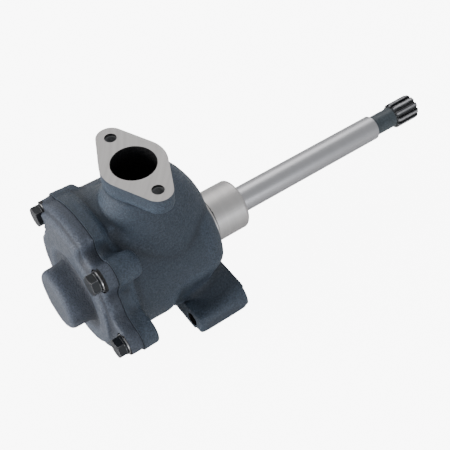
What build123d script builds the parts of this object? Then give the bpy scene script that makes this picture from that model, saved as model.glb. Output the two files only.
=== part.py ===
from build123d import *
import math
import os

# Engine oil pump of the rotor type, in millimetres.
# The drive axis is X and points to the splined end. Z is the normal of the inlet flange.
# The origin is on the drive axis, in the face of the shoulder at the root of the pilot collar.

# Drive shaft
SHAFT_D = 20.0
SHAFT_BACK_X = -119.5
SHAFT_GROUND_X = 164.0
SHAFT_CHAMFER = 1.0
NECK_D = 16.4
NECK_LENGTH = 19.5
SPLINE_D = 20.6
SPLINE_ROOT_D = 16.0
SPLINE_LENGTH = 23.0
SPLINE_TEETH = 11
SPLINE_LEAD = 3.0
SPLINE_GAP_SHARE = 0.46
SPLINE_ROOT_NARROWING = 0.75

# Running and sliding fits
BUSH_CLEARANCE = 0.03
ROTOR_OUTER_CLEARANCE = 0.08
ROTOR_END_CLEARANCE = 0.05
ROTOR_MESH_CLEARANCE = 0.12
PLUNGER_CLEARANCE = 0.04
SEAT_CLEARANCE = 0.01
PART_GAP = 0.3

# Stations along the drive axis
COVER_FACE_X = -105.5
EAR_FACE_X = -104.2
PARTING_X = -95.5
FLANGE_BACK_X = -84.5
LUG_BACK_X = (-76.5, -76.5, -83.5, -84.0)
COVER_RAISED_X = -109.5
COVER_BOSS_X = -125.5
GASKET_THICKNESS = 0.5

# Rotor set
INNER_LOBES = 4
ROTOR_OFFSET = 5.0
OUTER_TOOTH_CIRCLE_R = 35.0
OUTER_TOOTH_R = 13.0
OUTER_ROTOR_R = 38.0
POCKET_DEPTH = 30.0
ROTOR_OFFSET_ANGLE = 180.0
ROTOR_PROFILE_POINTS = 80
ROTOR_ROOT_CLEARANCE = 0.15

# Bushes
BUSH_WALL = 3.0
COLLAR_BUSH_X = (3.0, 26.0)
BODY_BUSH_LENGTH = 18.0
COVER_BUSH_LENGTH = 20.0
BUSH_SET_BACK = 2.6
BUSH_CHAMFER = 0.5

# Pilot collar and shoulder
COLLAR_R = 19.4
COLLAR_LENGTH = 27.5
COLLAR_EDGE_R = 3.0
LAND_R = 21.6
RELIEF_GROOVE_WIDTH = 1.4
RELIEF_GROOVE_DEPTH = 0.9

# Body casting
BARREL_R = 44.4
NOSE_X = -4.5
NOSE_R = 23.0
NOSE_SHOULDER_X = -14.5
NOSE_SHOULDER_R = 41.2
BARREL_END_X = -22.0

# Cover and flange outline, seen along the drive axis: angles run from +Y to +Z
SCREW_CIRCLE_R = 58.0
SCREW_ANGLES = (48.0, 128.0, 179.0, 300.0)
EAR_R = 9.0
OUTLINE_DISC_R = 48.8
WEB_INNER_R = 34.0
WEB_INNER_HALF = 17.0
BULGE_R = 64.0
BULGE_WALL_Y = -17.0
OUTLINE_BLEND_R = 6.0
FLANGE_MARGIN = 1.2
RAISED_DISC_R = 45.0
RAISED_DISC_YZ = (1.0, 3.5)
RAISED_BULGE_STEP = 4.0
COVER_EDGE_R = 2.0
COVER_PLATE_CHAMFER = 1.0
COVER_END_ROOM = 1.0
COVER_BOSS_R = 22.5
COVER_BOSS_EDGE_R = 4.0
COVER_BOSS_FOOT_R = 4.0

# Cover fasteners: M8 hexagon screws
SCREW_D = 8.0
SCREW_LENGTH = 22.0
SCREW_HOLE_D = 9.0
SCREW_TAP_D = 8.1
SCREW_HEAD_AF = 13.0
SCREW_HEAD_HEIGHT = 5.3
SCREW_TAP_DEPTH = 13.0
SPOT_FACE_D = 17.0
PLAIN_WASHER_D = 15.0
PLAIN_WASHER_THICKNESS = 1.4
SPRING_WASHER_D = 14.0
SPRING_WASHER_THICKNESS = 1.5
SPRING_WASHER_SLOT = 1.2
SPRING_WASHER_SKEW = 20.0
WASHER_HOLE_D = 8.6
SCREW_END_CHAMFER = 0.8
HEAD_CHAMFER_SLOPE = 0.55
PIN_CHAMFER = 0.5
DOWEL_D = 6.0
DOWEL_LENGTH = 14.0
DOWEL_WALL = 3.3
DOWEL_ANGLES = (15.0, 250.0)

# Inlet port and its flange
PORT_X = -51.9
PORT_FACE_Z = 90.6
PORT_D = 30.8
PORT_FLANGE_THICKNESS = 13.0
PORT_FLANGE_CORE_R = 22.5
PORT_LOBE_R = 10.0
PORT_BOLT_SPACING = 57.5
PORT_TAP_D = 8.4
PORT_TAP_DEPTH = 20.0
PORT_FLOOR_Z = 47.0
RISER_NECK_HALF = 21.0
RISER_NECK_X = (-72.9, -27.4)
RISER_WAIST_Z = 56.0
RISER_WAIST_X = (-82.0, -13.0)
RISER_WAIST_HALF = 26.0
RISER_BASE_Z = 10.0
RISER_BASE_X = (-83.0, -2.0)
RISER_BASE_HALF = 42.0

# Inlet duct between the riser and the cover
DUCT_R = 59.0
DUCT_YZ = (4.0, 1.0)
DUCT_Y = (-12.5, 50.0)
DUCT_BORE_R = (42.5, 56.0)
DUCT_BORE_Y = (-9.0, 24.0)
KIDNEY_R = (18.5, 31.5)
KIDNEY_DEPTH = 7.0
KIDNEY_HALF_ANGLE = 50.0
INLET_ANGLE = 90.0
OUTLET_ANGLE = 270.0

# Mounting bar under the nose, with its bolt holes along the drive axis
BAR_X = (-44.0, 0.0)
BAR_HALF_LENGTH = 55.0
BAR_Z = (-50.7, -31.0)
BAR_TOP_EDGE_R = 5.0
BAR_END_R = 13.0
MOUNT_BOLT_SPACING = 88.0
MOUNT_BOLT_Z = -40.3
MOUNT_HOLE_D = 10.5

# Outlet port
OUTLET_Z = -37.0
OUTLET_D = 14.0
OUTLET_BOSS_R = 12.5
OUTLET_DEPTH = 63.0
OUTLET_SEAL_R = 9.4
OUTLET_SEAL_SECTION = 2.4
OUTLET_SEAL_DEPTH = 2.0
TRANSFER_X = -59.5
TRANSFER_D = 12.0
TRANSFER_BOSS_R = 10.5

# Relief valve, lying across the drive axis on the far side
RELIEF_X = -60.0
RELIEF_Z = -18.0
RELIEF_BOSS_R = 9.5
RELIEF_BOSS_Y = 56.0
RELIEF_SEAT_Y = 31.0
RELIEF_SEAT_D = 6.0
RELIEF_PASSAGE_Y = 14.0
RELIEF_BORE_D = 11.0
RELIEF_VENT_D = 4.0
RELIEF_VENT_Y = 36.5
PLUNGER_LENGTH = 10.0
PLUNGER_WALL = 1.2
PLUNGER_CROWN = 3.0
PLUG_THREAD_D = 12.0
PLUG_TAP_D = 12.1
PLUG_THREAD_LENGTH = 7.0
PLUG_HEAD_AF = 16.0
PLUG_HEAD_HEIGHT = 5.0
PLUG_WASHER_D = 17.0
PLUG_WASHER_THICKNESS = 1.0
SPRING_WIRE_D = 1.1
SPRING_OUTER_D = 7.8
SPRING_TURNS = 5
SPRING_WIRE_SIDES = 8

# Transfer hole plug
GALLERY_PLUG_D = 14.0
GALLERY_TAP_D = 14.1
GALLERY_PLUG_LENGTH = 5.5
GALLERY_SOCKET_DEPTH = 3.5
GALLERY_SOCKET_AF = 6.0

# Shaft key and retaining rings at the inner rotor
KEY_WIDTH = 5.0
KEY_HEIGHT = 5.0
KEY_LENGTH = 22.0
RING_THICKNESS = 1.2
RING_GROOVE_DEPTH = 0.5
RING_OUTER_R = 12.4
RING_GAP_ANGLE = 60.0
RING_GAP_DIRECTION = 270.0
RING_EYE_R = 11.0
RING_EYE_ANGLE = 40.0
RING_EYE_D = 1.4
RING_END_PLAY = 0.05


def yz_plane(x):
    """The plane across the drive axis at x, with Y to the right and Z up."""
    return Plane(origin=(x, 0, 0), x_dir=(0, 1, 0), z_dir=(1, 0, 0))


def prism_x(sketch, x0, x1):
    """A sketch drawn across the drive axis, made solid from x0 to x1."""
    return extrude(yz_plane(x0) * sketch, amount=x1 - x0)


def rod_x(radius, x0, x1, y=0.0, z=0.0):
    """A round bar along the drive axis."""
    bar = Cylinder(radius, x1 - x0, rotation=(0, 90, 0), align=(Align.CENTER, Align.CENTER, Align.MIN))
    return Pos(x0, y, z) * bar


def rod_y(radius, y0, y1, x=0.0, z=0.0):
    """A round bar along Y."""
    bar = Cylinder(radius, y1 - y0, rotation=(-90, 0, 0), align=(Align.CENTER, Align.CENTER, Align.MIN))
    return Pos(x, y0, z) * bar


def rod_z(radius, z0, z1, x=0.0, y=0.0):
    """A round bar along Z."""
    bar = Cylinder(radius, z1 - z0, align=(Align.CENTER, Align.CENTER, Align.MIN))
    return Pos(x, y, z0) * bar


def polar(radius, degrees):
    """A point across the drive axis, as Y and Z."""
    turn = math.radians(degrees)
    return (radius * math.cos(turn), radius * math.sin(turn))


def screw_places():
    """Y and Z of each cover screw."""
    return [polar(SCREW_CIRCLE_R, angle) for angle in SCREW_ANGLES]


def dowel_places():
    """Y and Z of each cover dowel."""
    circle_r = OUTER_ROTOR_R + DOWEL_WALL + DOWEL_D / 2
    return [polar(circle_r, angle) for angle in DOWEL_ANGLES]


def wedge(r_in, r_out, mid_angle, half_angle):
    """A part of a ring between two radii, about mid_angle."""
    ring = Circle(r_out) - Circle(r_in)
    reach = 2 * r_out
    side = reach * math.tan(math.radians(half_angle))
    cone = Polygon((0, 0), (reach, -side), (reach, side), align=None)
    return ring & (Rot(0, 0, mid_angle) * cone)


def bulge_sketch(radius, wall_y):
    """The inlet bulge on top of the outline: a sector that ends in an upright wall."""
    far = polar(2 * radius, SCREW_ANGLES[0])
    window = Polygon((wall_y, 0), (0, 0), far, (wall_y, 2 * radius), align=None)
    return Circle(radius) & window


def ear_sketch(angle):
    """One screw ear with its tapering web."""
    web = Polygon(
        (WEB_INNER_R, -WEB_INNER_HALF),
        (SCREW_CIRCLE_R, -EAR_R),
        (SCREW_CIRCLE_R, EAR_R),
        (WEB_INNER_R, WEB_INNER_HALF),
        align=None,
    )
    tip = Pos(SCREW_CIRCLE_R, 0) * Circle(EAR_R)
    return Rot(0, 0, angle) * (web + tip)


def cover_outline():
    """The outline that cover, gasket and body flange share."""
    outline = Circle(OUTLINE_DISC_R) + bulge_sketch(BULGE_R, BULGE_WALL_Y)
    for angle in SCREW_ANGLES:
        outline += ear_sketch(angle)
    return offset(offset(outline, OUTLINE_BLEND_R), -OUTLINE_BLEND_R)


def outer_rotor_centre():
    """Centre of the outer rotor, off the drive axis."""
    return polar(ROTOR_OFFSET, ROTOR_OFFSET_ANGLE)


def port_outline():
    """The rhombic inlet flange, seen from above, about the port's centre."""
    lobe_y = PORT_BOLT_SPACING / 2
    lobes = [Pos(0, side * lobe_y) * Circle(PORT_LOBE_R) for side in (-1, 1)]
    return make_hull((Circle(PORT_FLANGE_CORE_R).edges() + lobes[0].edges() + lobes[1].edges()))


def kidney(angle):
    """A recess beside the rotors, seen along the drive axis, about the given angle."""
    return wedge(KIDNEY_R[0], KIDNEY_R[1], angle, KIDNEY_HALF_ANGLE)


def inlet_duct_sketch():
    """The duct from the riser to the cover, above the rotor pocket."""
    ring = Circle(DUCT_BORE_R[1]) - Circle(DUCT_BORE_R[0])
    width = DUCT_BORE_Y[1] - DUCT_BORE_Y[0]
    window = Pos(sum(DUCT_BORE_Y) / 2, DUCT_BORE_R[1]) * Rectangle(width, DUCT_BORE_R[1])
    return ring & window


def body_form():
    """The outside of the body casting with its turned collar."""
    form = prism_x(offset(cover_outline(), FLANGE_MARGIN), PARTING_X, FLANGE_BACK_X)
    form += barrel_form()
    for (y, z), lug_back in zip(screw_places(), LUG_BACK_X):
        form += rod_x(EAR_R + FLANGE_MARGIN, PARTING_X, lug_back, y, z)
    duct_window = Pos(sum(DUCT_Y) / 2, DUCT_R) * Rectangle(DUCT_Y[1] - DUCT_Y[0], DUCT_R)
    form += prism_x(Pos(*DUCT_YZ) * Circle(DUCT_R) & duct_window, PARTING_X, PORT_X)
    form += riser_form()
    form += bar_form()
    form += rod_x(OUTLET_BOSS_R, -OUTLET_DEPTH - OUTLET_D / 2, 0, 0, OUTLET_Z)
    form += rod_z(TRANSFER_BOSS_R, BAR_Z[0], 0, TRANSFER_X)
    form += rod_y(RELIEF_BOSS_R, 0, RELIEF_BOSS_Y, RELIEF_X, RELIEF_Z)
    form += rod_x(LAND_R, NOSE_X, -RELIEF_GROOVE_WIDTH)
    form += rod_x(COLLAR_R - RELIEF_GROOVE_DEPTH, NOSE_X, 0)
    collar = rod_x(COLLAR_R, 0, COLLAR_LENGTH)
    return form + fillet(collar.edges().sort_by(Axis.X)[-1], COLLAR_EDGE_R)


def barrel_form():
    """The round barrel over the rotors with its domed nose."""
    corners = ((NOSE_X, NOSE_R), (NOSE_X, 0), (PARTING_X, 0), (PARTING_X, BARREL_R), (BARREL_END_X, BARREL_R))
    wall = Polyline(*corners)
    dome = ThreePointArc((BARREL_END_X, BARREL_R), (NOSE_SHOULDER_X, NOSE_SHOULDER_R), (NOSE_X, NOSE_R))
    return revolve(Plane.XZ * make_face(wall + dome), Axis.X)


def riser_form():
    """The inlet riser, flared towards the barrel, with its rhombic flange."""
    base = Plane.XY.offset(RISER_BASE_Z) * ellipse_between(RISER_BASE_X, RISER_BASE_HALF)
    waist = Plane.XY.offset(RISER_WAIST_Z) * ellipse_between(RISER_WAIST_X, RISER_WAIST_HALF)
    flange_z = PORT_FACE_Z - PORT_FLANGE_THICKNESS
    neck = Plane.XY.offset(flange_z) * ellipse_between(RISER_NECK_X, RISER_NECK_HALF)
    form = loft([base, waist, neck])
    return form + Pos(PORT_X, 0, flange_z) * extrude(port_outline(), amount=PORT_FLANGE_THICKNESS)


def ellipse_between(x_range, half_width):
    """An upright section of the riser: an ellipse between two stations."""
    half_length = (x_range[1] - x_range[0]) / 2
    return Pos(sum(x_range) / 2, 0) * Ellipse(half_length, half_width)


def bar_form():
    """The mounting bar under the nose."""
    length = BAR_X[1] - BAR_X[0]
    height = BAR_Z[1] - BAR_Z[0]
    bar = Pos(sum(BAR_X) / 2, 0, sum(BAR_Z) / 2) * Box(length, 2 * BAR_HALF_LENGTH, height)
    bar = fillet(bar.edges().filter_by(Axis.X).group_by(Axis.Z)[-1], BAR_END_R)
    rear_face = bar.faces().sort_by(Axis.X)[0]
    return fillet(rear_face.edges().sort_by(Axis.Z)[-1], BAR_TOP_EDGE_R)


def bush_seat_r():
    """Radius of the bore that holds the bushes."""
    return SHAFT_D / 2 + BUSH_CLEARANCE + BUSH_WALL + SEAT_CLEARANCE


def make_pump_body():
    """Body casting: rotor pocket, inlet riser, mounting bar, relief boss and pilot collar."""
    body = body_form()
    floor_x = PARTING_X + POCKET_DEPTH
    y, z = outer_rotor_centre()
    body -= rod_x(OUTER_ROTOR_R + ROTOR_OUTER_CLEARANCE, PARTING_X, floor_x, y, z)
    body -= rod_x(bush_seat_r(), floor_x, COLLAR_LENGTH)
    body -= prism_x(kidney(INLET_ANGLE), floor_x, floor_x + KIDNEY_DEPTH)
    body -= prism_x(kidney(OUTLET_ANGLE), floor_x, floor_x + KIDNEY_DEPTH)
    body -= rod_z(PORT_D / 2, PORT_FLOOR_Z, PORT_FACE_Z, PORT_X)
    body -= prism_x(inlet_duct_sketch(), PARTING_X, PORT_X)
    for side in (-1, 1):
        tap_y = side * PORT_BOLT_SPACING / 2
        body -= rod_z(PORT_TAP_D / 2, PORT_FACE_Z - PORT_TAP_DEPTH, PORT_FACE_Z, PORT_X, tap_y)
        hole_y = side * MOUNT_BOLT_SPACING / 2
        body -= rod_x(MOUNT_HOLE_D / 2, BAR_X[0], BAR_X[1], hole_y, MOUNT_BOLT_Z)
    for y, z in screw_places():
        body -= rod_x(SCREW_TAP_D / 2, PARTING_X, PARTING_X + SCREW_TAP_DEPTH, y, z)
    for y, z in dowel_places():
        body -= rod_x(DOWEL_D / 2 + SEAT_CLEARANCE, PARTING_X, PARTING_X + DOWEL_LENGTH / 2, y, z)
    return body - outlet_bores() - relief_bores()


def outlet_bores():
    """Outlet drilling with its seal groove, and the transfer hole from the outlet recess."""
    groove = rod_x(OUTLET_SEAL_R + OUTLET_SEAL_SECTION / 2, -OUTLET_SEAL_DEPTH, 0, 0, OUTLET_Z)
    groove -= rod_x(OUTLET_SEAL_R - OUTLET_SEAL_SECTION / 2, -OUTLET_SEAL_DEPTH, 0, 0, OUTLET_Z)
    bores = groove + rod_x(OUTLET_D / 2, -OUTLET_DEPTH, 0, 0, OUTLET_Z)
    bores += rod_z(TRANSFER_D / 2, BAR_Z[0], -KIDNEY_R[0] - BUSH_WALL, TRANSFER_X)
    bores += rod_z(GALLERY_TAP_D / 2, BAR_Z[0], BAR_Z[0] + GALLERY_PLUG_LENGTH, TRANSFER_X)
    return bores


def relief_bores():
    """Relief valve bore with its seat passage, plug thread and vent."""
    bores = rod_y(RELIEF_SEAT_D / 2, RELIEF_PASSAGE_Y, RELIEF_SEAT_Y, RELIEF_X, RELIEF_Z)
    bores += rod_y(RELIEF_BORE_D / 2, RELIEF_SEAT_Y, RELIEF_BOSS_Y, RELIEF_X, RELIEF_Z)
    thread_y = RELIEF_BOSS_Y - PLUG_THREAD_LENGTH
    bores += rod_y(PLUG_TAP_D / 2, thread_y, RELIEF_BOSS_Y, RELIEF_X, RELIEF_Z)
    bores += rod_z(RELIEF_VENT_D / 2, RELIEF_Z - RELIEF_BOSS_R, RELIEF_Z, RELIEF_X, RELIEF_VENT_Y)
    return bores


def cover_joint_x():
    """The cover's joint face, behind the gasket."""
    return PARTING_X - GASKET_THICKNESS


def make_end_cover():
    """End cover with its ears, raised inlet bulge and closed bearing boss."""
    joint_x = cover_joint_x()
    plate = prism_x(cover_outline(), COVER_FACE_X, joint_x)
    cover = chamfer(plate.faces().sort_by(Axis.X)[0].edges(), COVER_PLATE_CHAMFER)
    raised = prism_x(raised_outline(), COVER_RAISED_X, joint_x)
    cover += fillet(raised.faces().sort_by(Axis.X)[0].edges(), COVER_EDGE_R)
    boss = rod_x(COVER_BOSS_R, COVER_BOSS_X, joint_x)
    cover += fillet(boss.faces().sort_by(Axis.X)[0].edges(), COVER_BOSS_EDGE_R)
    cover += cover_boss_foot()
    cover -= rod_x(bush_seat_r(), SHAFT_BACK_X - COVER_END_ROOM, joint_x)
    cover -= prism_x(kidney(INLET_ANGLE), joint_x - KIDNEY_DEPTH, joint_x)
    cover -= prism_x(kidney(OUTLET_ANGLE), joint_x - KIDNEY_DEPTH / 2, joint_x)
    cover -= prism_x(cover_channel(), joint_x - KIDNEY_DEPTH, joint_x)
    for y, z in screw_places():
        cover -= rod_x(SPOT_FACE_D / 2, COVER_BOSS_X, EAR_FACE_X, y, z)
        cover -= rod_x(SCREW_HOLE_D / 2, EAR_FACE_X, joint_x, y, z)
    for y, z in dowel_places():
        cover -= rod_x(DOWEL_D / 2 + SEAT_CLEARANCE, joint_x - DOWEL_LENGTH / 2, joint_x, y, z)
    return cover


def cover_boss_foot():
    """The hollow curve between the bearing boss and the raised face."""
    foot_r = COVER_BOSS_R + COVER_BOSS_FOOT_R
    foot_x = COVER_RAISED_X - COVER_BOSS_FOOT_R
    corner = Polyline((foot_x, COVER_BOSS_R), (foot_x, 0), (COVER_RAISED_X, 0), (COVER_RAISED_X, foot_r))
    hollow = RadiusArc((COVER_RAISED_X, foot_r), (foot_x, COVER_BOSS_R), COVER_BOSS_FOOT_R)
    return revolve(Plane.XZ * make_face(corner + hollow), Axis.X)


def raised_outline():
    """The raised middle of the cover, with the bulge over the inlet channel."""
    outline = bulge_sketch(BULGE_R - RAISED_BULGE_STEP, BULGE_WALL_Y + COVER_EDGE_R)
    outline += Pos(*RAISED_DISC_YZ) * Circle(RAISED_DISC_R)
    return offset(offset(outline, OUTLINE_BLEND_R), -OUTLINE_BLEND_R)


def cover_channel():
    """The channel in the cover from the duct down to the inlet recess."""
    width = DUCT_BORE_Y[1] - DUCT_BORE_Y[0]
    middle_r = (KIDNEY_R[1] + DUCT_BORE_R[1]) / 2
    window = Pos(sum(DUCT_BORE_Y) / 2, middle_r) * Rectangle(width, DUCT_BORE_R[1])
    return (Circle(DUCT_BORE_R[1]) - Circle(KIDNEY_R[0])) & window


def make_cover_gasket():
    """Gasket with the rotor, duct, screw and dowel openings."""
    y, z = outer_rotor_centre()
    sheet = cover_outline() - Pos(y, z) * Circle(OUTER_ROTOR_R + PART_GAP)
    sheet -= inlet_duct_sketch()
    for y, z in screw_places():
        sheet -= Pos(y, z) * Circle(SCREW_HOLE_D / 2)
    for y, z in dowel_places():
        sheet -= Pos(y, z) * Circle(DOWEL_D / 2 + PART_GAP)
    return prism_x(sheet, cover_joint_x(), PARTING_X)


def at_screws(make):
    """One copy of a fastener piece on the face of each ear."""
    return Compound(children=[Pos(EAR_FACE_X, y, z) * make for y, z in screw_places()])


def hexagon_head(across_flats, height):
    """A hexagon head with chamfered corners; its bearing face lies at zero and it points to -X."""
    corner_r = across_flats / math.sqrt(3)
    prism = prism_x(RegularPolygon(corner_r, 6), -height, 0)
    drop = (corner_r - across_flats / 2) * HEAD_CHAMFER_SLOPE
    turned = Polygon(
        (0, 0),
        (0, corner_r),
        (drop - height, corner_r),
        (-height, across_flats / 2),
        (-height, 0),
        align=None,
    )
    return prism & revolve(Plane.XZ * turned, Axis.X)


def make_cover_screws():
    """The hexagon screws that hold the cover."""
    bearing_x = -PLAIN_WASHER_THICKNESS - SPRING_WASHER_THICKNESS
    head = Pos(bearing_x, 0, 0) * hexagon_head(SCREW_HEAD_AF, SCREW_HEAD_HEIGHT)
    shank = rod_x(SCREW_D / 2, bearing_x, bearing_x + SCREW_LENGTH)
    return at_screws(head + chamfer(shank.edges().sort_by(Axis.X)[-1], SCREW_END_CHAMFER))


def make_cover_plain_washers():
    """The plain washers on the cover's ears."""
    washer = rod_x(PLAIN_WASHER_D / 2, -PLAIN_WASHER_THICKNESS, 0)
    return at_screws(washer - rod_x(WASHER_HOLE_D / 2, -PLAIN_WASHER_THICKNESS, 0))


def make_cover_spring_washers():
    """The split spring washers under the screw heads."""
    x0 = -PLAIN_WASHER_THICKNESS - SPRING_WASHER_THICKNESS
    washer = rod_x(SPRING_WASHER_D / 2, x0, -PLAIN_WASHER_THICKNESS)
    washer -= rod_x(WASHER_HOLE_D / 2, x0, -PLAIN_WASHER_THICKNESS)
    slot = Box(SPRING_WASHER_D, SPRING_WASHER_D, SPRING_WASHER_SLOT)
    slot_x = -PLAIN_WASHER_THICKNESS - SPRING_WASHER_THICKNESS / 2
    slot = Pos(slot_x, -SPRING_WASHER_D / 2, 0) * Rot(0, SPRING_WASHER_SKEW, 0) * slot
    return at_screws(washer - slot)


def make_cover_dowels():
    """The dowels that locate the cover on the body."""
    x0 = cover_joint_x() - DOWEL_LENGTH / 2 + PART_GAP
    x1 = PARTING_X + DOWEL_LENGTH / 2 - PART_GAP
    pin = rod_x(DOWEL_D / 2, x0, x1)
    pin = chamfer(pin.edges().filter_by(GeomType.CIRCLE), PIN_CHAMFER)
    return Compound(children=[Pos(0, y, z) * pin for y, z in dowel_places()])


def rotor_x():
    """Both faces of the rotors along the drive axis."""
    return cover_joint_x() + ROTOR_END_CLEARANCE, PARTING_X + POCKET_DEPTH - ROTOR_END_CLEARANCE


def key_x():
    """Both ends of the rotor key along the drive axis."""
    middle = sum(rotor_x()) / 2
    return middle - KEY_LENGTH / 2, middle + KEY_LENGTH / 2


def make_drive_shaft():
    """Ground shaft with keyway, ring grooves, neck and splined end."""
    shaft = rod_x(SHAFT_D / 2, SHAFT_BACK_X, SHAFT_GROUND_X)
    shaft = chamfer(shaft.edges().filter_by(GeomType.CIRCLE), SHAFT_CHAMFER)
    neck_end = SHAFT_GROUND_X + NECK_LENGTH
    shaft += rod_x(NECK_D / 2, SHAFT_GROUND_X - SHAFT_CHAMFER, neck_end + SPLINE_LEAD)
    shaft += spline_form(neck_end)
    x0, x1 = key_x()
    keyway = Box(x1 - x0, KEY_WIDTH, KEY_HEIGHT, align=(Align.MIN, Align.CENTER, Align.MIN))
    shaft -= Pos(x0, 0, SHAFT_D / 2 - KEY_HEIGHT / 2) * keyway
    for ring_x in ring_places():
        groove = rod_x(SHAFT_D, ring_x, ring_x + RING_THICKNESS)
        shaft -= groove - rod_x(SHAFT_D / 2 - RING_GROOVE_DEPTH, ring_x, ring_x + RING_THICKNESS)
    return shaft


def spline_form(start_x):
    """The splined end: straight teeth with a tapered run-out and a chamfered tip."""
    end_x = start_x + SPLINE_LENGTH
    pitch = 360.0 / SPLINE_TEETH
    gap_half = math.radians(pitch * SPLINE_GAP_SHARE / 2)
    tip_r = SPLINE_D / 2
    root_r = SPLINE_ROOT_D / 2
    outside_r = tip_r + PART_GAP
    gap = Polygon(
        (root_r, -root_r * math.tan(gap_half) * SPLINE_ROOT_NARROWING),
        (outside_r, -outside_r * math.tan(gap_half)),
        (outside_r, outside_r * math.tan(gap_half)),
        (root_r, root_r * math.tan(gap_half) * SPLINE_ROOT_NARROWING),
        align=None,
    )
    section = Circle(tip_r)
    for tooth in range(SPLINE_TEETH):
        section -= Rot(0, 0, (tooth + 0.5) * pitch) * gap
    turned = Polygon(
        (start_x, 0),
        (start_x, root_r),
        (start_x + SPLINE_LEAD, tip_r),
        (end_x - SHAFT_CHAMFER, tip_r),
        (end_x, tip_r - SHAFT_CHAMFER),
        (end_x, 0),
        align=None,
    )
    return prism_x(section, start_x, end_x) & revolve(Plane.XZ * turned, Axis.X)


def ring_places():
    """Lower X of both retaining rings beside the inner rotor."""
    x0, x1 = rotor_x()
    return x0 - RING_THICKNESS - RING_END_PLAY, x1 + RING_END_PLAY


def make_rotor_circlips():
    """The open retaining rings in the shaft grooves."""
    inner_r = SHAFT_D / 2 - RING_GROOVE_DEPTH + SEAT_CLEARANCE
    opening = wedge(PART_GAP, RING_OUTER_R + PART_GAP, RING_GAP_DIRECTION, RING_GAP_ANGLE / 2)
    section = Circle(RING_OUTER_R) - Circle(inner_r) - opening
    for side in (-1, 1):
        eye = polar(RING_EYE_R, RING_GAP_DIRECTION + side * RING_EYE_ANGLE)
        section -= Pos(*eye) * Circle(RING_EYE_D / 2)
    rings = [prism_x(section, x + SEAT_CLEARANCE, x + RING_THICKNESS - SEAT_CLEARANCE) for x in ring_places()]
    return Compound(children=rings)


def inner_rotor_point(t):
    """A point of the inner rotor's outline, rolled out by the outer rotor's round teeth."""
    lobe = INNER_LOBES + 1
    centre_y = OUTER_TOOTH_CIRCLE_R * math.cos(t) + ROTOR_OFFSET * math.cos(lobe * t)
    centre_z = OUTER_TOOTH_CIRCLE_R * math.sin(t) + ROTOR_OFFSET * math.sin(lobe * t)
    normal_y = OUTER_TOOTH_CIRCLE_R * math.cos(t) + lobe * ROTOR_OFFSET * math.cos(lobe * t)
    normal_z = OUTER_TOOTH_CIRCLE_R * math.sin(t) + lobe * ROTOR_OFFSET * math.sin(lobe * t)
    reach = (OUTER_TOOTH_R + ROTOR_MESH_CLEARANCE) / math.hypot(normal_y, normal_z)
    return centre_y - normal_y * reach, centre_z - normal_z * reach


def make_inner_rotor():
    """Inner rotor with its lobes, shaft bore and keyway."""
    steps = ROTOR_PROFILE_POINTS
    points = [inner_rotor_point(2 * math.pi * step / steps) for step in range(steps)]
    outline = make_face(Spline(*points, periodic=True))
    outline -= Circle(SHAFT_D / 2 + SEAT_CLEARANCE)
    keyway_top = SHAFT_D / 2 + KEY_HEIGHT / 2 + PART_GAP
    outline -= Pos(0, keyway_top / 2) * Rectangle(KEY_WIDTH, keyway_top)
    return prism_x(outline, *rotor_x())


def make_outer_rotor():
    """Outer rotor: a ring with round inner teeth, one more than the inner rotor has lobes."""
    hole = Circle(OUTER_TOOTH_CIRCLE_R - OUTER_TOOTH_R + 2 * ROTOR_OFFSET + ROTOR_ROOT_CLEARANCE)
    teeth = INNER_LOBES + 1
    for tooth in range(teeth):
        place = polar(OUTER_TOOTH_CIRCLE_R, ROTOR_OFFSET_ANGLE + tooth * 360.0 / teeth)
        hole -= Pos(*place) * Circle(OUTER_TOOTH_R)
    section = Pos(*outer_rotor_centre()) * (Circle(OUTER_ROTOR_R) - hole)
    return prism_x(section, *rotor_x())


def make_rotor_key():
    """The key between shaft and inner rotor."""
    x0, x1 = key_x()
    length = x1 - x0 - 2 * SEAT_CLEARANCE
    key = Box(length, KEY_WIDTH - 2 * SEAT_CLEARANCE, KEY_HEIGHT, align=(Align.MIN, Align.CENTER, Align.MIN))
    return Pos(x0 + SEAT_CLEARANCE, 0, SHAFT_D / 2 - KEY_HEIGHT / 2) * key


def bush(x0, x1):
    """A plain bearing bush with chamfered bore."""
    bore_r = SHAFT_D / 2 + BUSH_CLEARANCE
    ring = rod_x(bore_r + BUSH_WALL, x0, x1) - rod_x(bore_r, x0, x1)
    circles = ring.edges().filter_by(GeomType.CIRCLE)
    inner_edges = circles.filter_by(lambda edge: edge.radius < bore_r + BUSH_WALL)
    return chamfer(inner_edges, BUSH_CHAMFER)


def make_collar_bush():
    """The bush in the pilot collar."""
    return bush(*COLLAR_BUSH_X)


def make_body_bush():
    """The bush behind the rotor pocket."""
    x0 = PARTING_X + POCKET_DEPTH + BUSH_SET_BACK
    return bush(x0, x0 + BODY_BUSH_LENGTH)


def make_cover_bush():
    """The bush in the closed boss of the cover."""
    x1 = cover_joint_x() - BUSH_SET_BACK
    return bush(x1 - COVER_BUSH_LENGTH, x1)


def make_relief_plunger():
    """The hollow relief plunger, crown against the seat."""
    radius = RELIEF_BORE_D / 2 - PLUNGER_CLEARANCE
    plunger = rod_y(radius, RELIEF_SEAT_Y, RELIEF_SEAT_Y + PLUNGER_LENGTH)
    plunger = chamfer(plunger.edges().sort_by(Axis.Y)[0], PIN_CHAMFER)
    plunger -= rod_y(radius - PLUNGER_WALL, RELIEF_SEAT_Y + PLUNGER_CROWN, RELIEF_SEAT_Y + PLUNGER_LENGTH)
    return Pos(RELIEF_X, 0, RELIEF_Z) * plunger


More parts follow.
